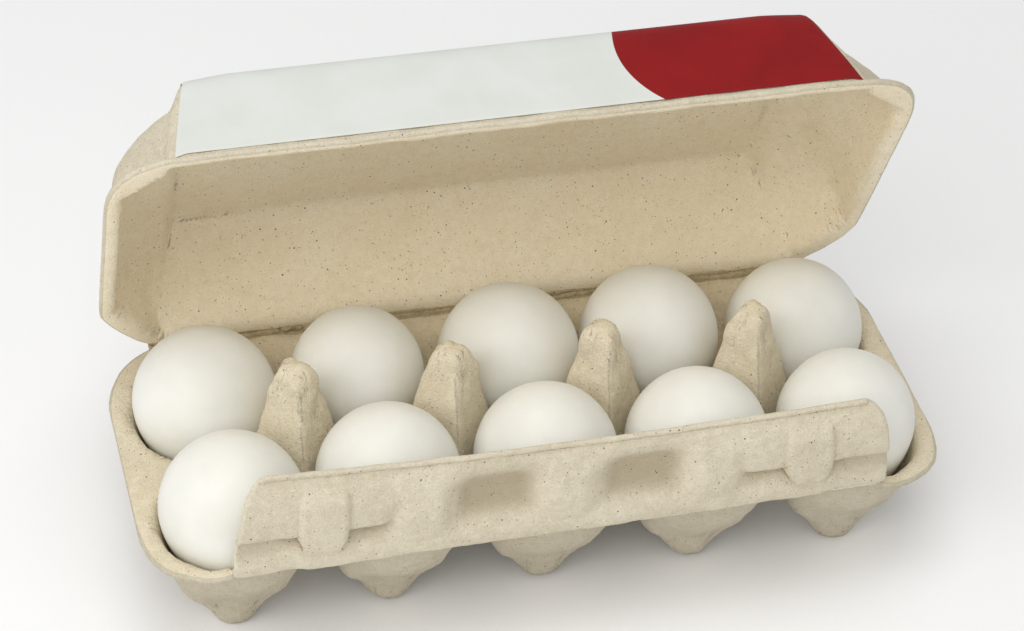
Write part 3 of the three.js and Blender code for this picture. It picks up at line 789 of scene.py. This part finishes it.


def pulp_material(name, light, dark, stain, pocket_painted_shade_colour=None):
    """Moulded paper pulp: cloudy, grainy, with dark specks, loose fibres and a rough skin."""
    s = Shading(name, 0.92, 0.12)
    cloud = s.ramp(s.noise(30, 3, 0.6), 0.3, 0.7)
    clump = s.ramp(s.noise(360, 3, 0.65), 0.3, 0.7)
    grain = s.ramp(s.noise(1500, 2, 0.7), 0.3, 0.7)
    tone = s.maths("ADD", s.maths("MULTIPLY", cloud, 0.3), s.maths("MULTIPLY", clump, 0.34))
    tone = s.maths("ADD", tone, s.maths("MULTIPLY", grain, 0.36))
    colour = s.mix(tone, dark, light)
    blotch = s.ramp(s.noise(85, 4, 0.65, 0.8), 0.56, 0.8)
    colour = s.mix(s.maths("MULTIPLY", blotch, 0.35), colour, stain)
    # painted shade: a darker colour where the mesh marks a place deep in the flap's pockets
    if pocket_painted_shade_colour:
        pocket_painted_shade = s.add("ShaderNodeAttribute", attribute_name="pocket_painted_shade").outputs["Fac"]
        colour = s.mix(s.maths("MULTIPLY", pocket_painted_shade, POCKET_PAINTED_SHADE_SHARE), colour, pocket_painted_shade_colour)
    # fibres: thin winding lines where a slow noise crosses its middle value
    for scale, shift, width in ((150, 0.0, 0.0035), (240, 3.7, 0.0035)):
        moved = s.add("ShaderNodeVectorMath", {0: s.place, 1: (shift, shift, shift)}, operation="ADD")
        moved = moved.outputs[0]
        wave = s.noise(scale, 1.5, 0.5, 1.6, moved)
        line = s.ramp(s.maths("ABSOLUTE", s.maths("SUBTRACT", wave, 0.5)), width, 0.0)
        patch = s.ramp(s.noise(scale * 0.9, 1, 0.5, 0, moved), 0.56, 0.64)
        fibre = s.maths("MULTIPLY", line, patch)
        colour = s.mix(s.maths("MULTIPLY", fibre, 0.45), colour, FIBRE)
    # specks lie closer together in some patches than in others
    crowd = s.ramp(s.noise(42, 2, 0.5), 0.35, 0.65)
    for scale, size, keep, strength, tint in SPECKS:
        distance, lot = s.cells(scale)
        least = s.ramp(crowd, 0, 1, 1 - 0.35 * keep, 1 - keep, False)
        kept = s.maths("GREATER_THAN", lot, least)
        reach = s.maths("MULTIPLY", s.ramp(lot, 1 - keep, 1, 0.45, 1.0, False), size)
        spot = s.ramp(s.maths("SUBTRACT", reach, distance), 0.0, 0.045)
        colour = s.mix(s.maths("MULTIPLY", s.maths("MULTIPLY", spot, kept), strength), colour, tint)
    height = s.maths("ADD", s.maths("MULTIPLY", s.noise(420, 4, 0.65), 0.6), s.maths("MULTIPLY", grain, 0.4))
    roughness = s.ramp(clump, 0, 1, 0.86, 0.97)
    s.tree.links.new(roughness, s.shader.inputs["Roughness"])
    return s.finish(colour, height, 0.0005, 0.9)


def shell_material():
    """White eggshell with fine pores."""
    s = Shading("eggshell", 0.46, 0.32)
    s.shader.inputs["Subsurface Weight"].default_value = 0.18
    s.shader.inputs["Subsurface Radius"].default_value = (1.0, 0.62, 0.4)
    s.shader.inputs["Subsurface Scale"].default_value = 0.004
    cloud = s.ramp(s.noise(45, 3, 0.55), 0.3, 0.7)
    colour = s.mix(cloud, srgb(229, 228, 219), srgb(236, 235, 227))
    distance, lot = s.cells(520)
    pore = s.maths("MULTIPLY", s.ramp(distance, 0.16, 0.06), s.maths("GREATER_THAN", lot, 0.72))
    colour = s.mix(s.maths("MULTIPLY", pore, 0.10), colour, srgb(205, 190, 160))
    height = s.maths("SUBTRACT", s.noise(900, 3, 0.6), s.maths("MULTIPLY", pore, 0.5))
    return s.finish(colour, height, 0.00012, 0.35)


RED_MIDDLE, RED_RADIUS = (69.0, 23.4), 35.0  # x, and distance up the sheet from its foot
PRINT_EDGE = 0.12  # half the width over which the ink fades


def print_material():
    """White paper with a red field that has a half-round left end."""
    s = Shading("label_print", 0.5, 0.22)
    sheet = s.add("ShaderNodeUVMap", uv_map="sheet").outputs[0]
    apart = s.add("ShaderNodeSeparateXYZ", {0: sheet})
    x, up = apart.outputs[0], apart.outputs[1]
    dx = s.maths("MINIMUM", s.maths("SUBTRACT", x, RED_MIDDLE[0] / 1000), 0.0)
    dy = s.maths("SUBTRACT", up, RED_MIDDLE[1] / 1000)
    across = s.maths("SQRT", s.maths("ADD", s.maths("MULTIPLY", dx, dx), s.maths("MULTIPLY", dy, dy)))
    red = s.ramp(across, (RED_RADIUS + PRINT_EDGE) / 1000, (RED_RADIUS - PRINT_EDGE) / 1000)
    tint = s.ramp(s.noise(60, 2, 0.5), 0.3, 0.7)
    white = s.mix(tint, srgb(215, 218, 211), srgb(220, 223, 217))
    ink = s.mix(tint, srgb(132, 6, 9), srgb(142, 9, 13))
    weave = s.noise(1500, 3, 0.6)
    return s.finish(s.mix(red, white, ink), s.maths("ADD", s.noise(70, 2, 0.5), weave), 0.0001, 0.25)


pulp = pulp_material("pulp_plain", srgb(229, 220, 199), srgb(202, 191, 166), srgb(188, 174, 141))
# a darker copy of the pulp for the tray's underside, the cups' outside: painted shade
pulp_cups_painted_shade = pulp_material("pulp_cups_painted_shade", srgb(215, 206, 186), srgb(189, 179, 156), srgb(176, 163, 132))
# a brighter copy of the pulp for the tray's upper side, posts and rim: painted light
pulp_upper_painted_light = pulp_material("pulp_tray", srgb(240, 229, 204), srgb(214, 201, 172), srgb(198, 182, 145))
# the flap's pulp; its last colour is painted shade for the pockets
pulp_flap = pulp_material(
    "pulp_flap", srgb(233, 224, 202), srgb(206, 195, 170), srgb(192, 178, 145), srgb(176, 162, 134)
)
# a darker, yellower pulp for the hinge strip
darker_hinge_pulp = pulp_material("pulp_hinge_darker", srgb(208, 194, 162), srgb(164, 147, 110), srgb(150, 131, 92))
# a brighter, warmer copy of the pulp for the lid's inner side: painted light
lid_inside_painted_light = pulp_material("pulp_lid_inside_painted_light", srgb(255, 246, 222), srgb(245, 228, 196), srgb(230, 208, 168))
flap.data.materials.append(pulp_flap)
for piece, first, second, second_faces in (
    (tray, pulp_upper_painted_light, pulp_cups_painted_shade, tray_outside), (lid, pulp, lid_inside_painted_light, lid_inside),
):
    piece.data.materials.append(first)
    piece.data.materials.append(second)
    index = np.zeros(len(piece.data.polygons), np.int32)
    index[second_faces] = 1
    piece.data.polygons.foreach_set("material_index", index)
hinge_strip.data.materials.append(darker_hinge_pulp)
fold_strip.data.materials.append(pulp_flap)
shell = shell_material()
for egg in eggs:
    egg.data.materials.append(shell)
label.data.materials.append(print_material())


# ---- Camera, light and floor ----
CAMERA_TURN, CAMERA_RISE, CAMERA_ROLL = math.radians(15.327), math.radians(37.975), math.radians(2.358)
CAMERA_TARGET = np.array([-5.2, 0.0, 81.9])
CAMERA_DISTANCE = 989.64
CAMERA_SENSOR = 36
CAMERA_LENS = 3210 / 1024 * CAMERA_SENSOR  # 3210 pixels of a frame that is 1024 wide
LIGHT_TARGET = (0, 0, 0.06)  # metres in the frame, as are the lights' places and sizes
LIGHTS = [
    ("key", (-0.45, -0.95, 1.05), 0.7, 4.3),
    ("side", (-1.0, -0.45, 0.75), 0.7, 3.8),
    ("top", (-0.1, -0.15, 1.5), 0.9, 6.0),
    ("fill", (0.9, -0.9, 0.6), 1.0, 0.3),
]
SKY_STRENGTH = 0.52
FLOOR_HALF = 6.0


def place_camera():
    """A camera that looks down on the carton from the front, a little from the left."""
    back = np.array([
        -math.sin(CAMERA_TURN) * math.cos(CAMERA_RISE), -math.cos(CAMERA_TURN) * math.cos(CAMERA_RISE),
        math.sin(CAMERA_RISE),
    ])
    right = np.array([math.cos(CAMERA_TURN), -math.sin(CAMERA_TURN), 0.0])
    up = np.cross(back, right)
    c, s = math.cos(CAMERA_ROLL), math.sin(CAMERA_ROLL)
    right, up = right * c + up * s, up * c - right * s
    data = bpy.data.cameras.new("camera")
    data.lens = CAMERA_LENS
    data.sensor_width = CAMERA_SENSOR
    camera = bpy.data.objects.new("camera", data)
    place = to_frame(CAMERA_TARGET + back * CAMERA_DISTANCE)
    camera.matrix_world = Matrix((
        (right[0], up[0], back[0], place[0]), (right[1], up[1], back[1], place[1]),
        (right[2], up[2], back[2], place[2]), (0, 0, 0, 1),
    ))
    bpy.context.scene.collection.objects.link(camera)
    bpy.context.scene.camera = camera


def area_light(name, place, size, power):
    """A square soft box that looks at the carton."""
    data = bpy.data.lights.new(name, "AREA")
    data.shape = "SQUARE"
    data.size = size
    data.energy = power
    light = bpy.data.objects.new(name, data)
    light.location = place
    direction = Vector(LIGHT_TARGET) - Vector(place)
    light.rotation_euler = direction.to_track_quat("-Z", "Y").to_euler()
    bpy.context.scene.collection.objects.link(light)


place_camera()
for name, place, size, power in LIGHTS:
    area_light(name, place, size, power)

world = bpy.data.worlds.new("studio")
world.use_nodes = True
sky = world.node_tree.nodes["Background"]
sky.inputs["Color"].default_value = (1.0, 1.0, 1.0, 1)
sky.inputs["Strength"].default_value = SKY_STRENGTH
bpy.context.scene.world = world
bpy.context.scene.view_settings.view_transform = "Standard"

floor_mesh = bpy.data.meshes.new("floor")
corners = [(x * FLOOR_HALF, y * FLOOR_HALF, 0) for x, y in ((-1, -1), (1, -1), (1, 1), (-1, 1))]
floor_mesh.from_pydata(corners, [], [(0, 1, 2, 3)])
floor = bpy.data.objects.new("floor", floor_mesh)
bpy.context.scene.collection.objects.link(floor)
paper = Shading("floor_paper", 0.9, 0.1)
white = paper.mix(paper.noise(3), (0.94, 0.94, 0.94), (0.96, 0.96, 0.96))
floor.data.materials.append(paper.finish(white))
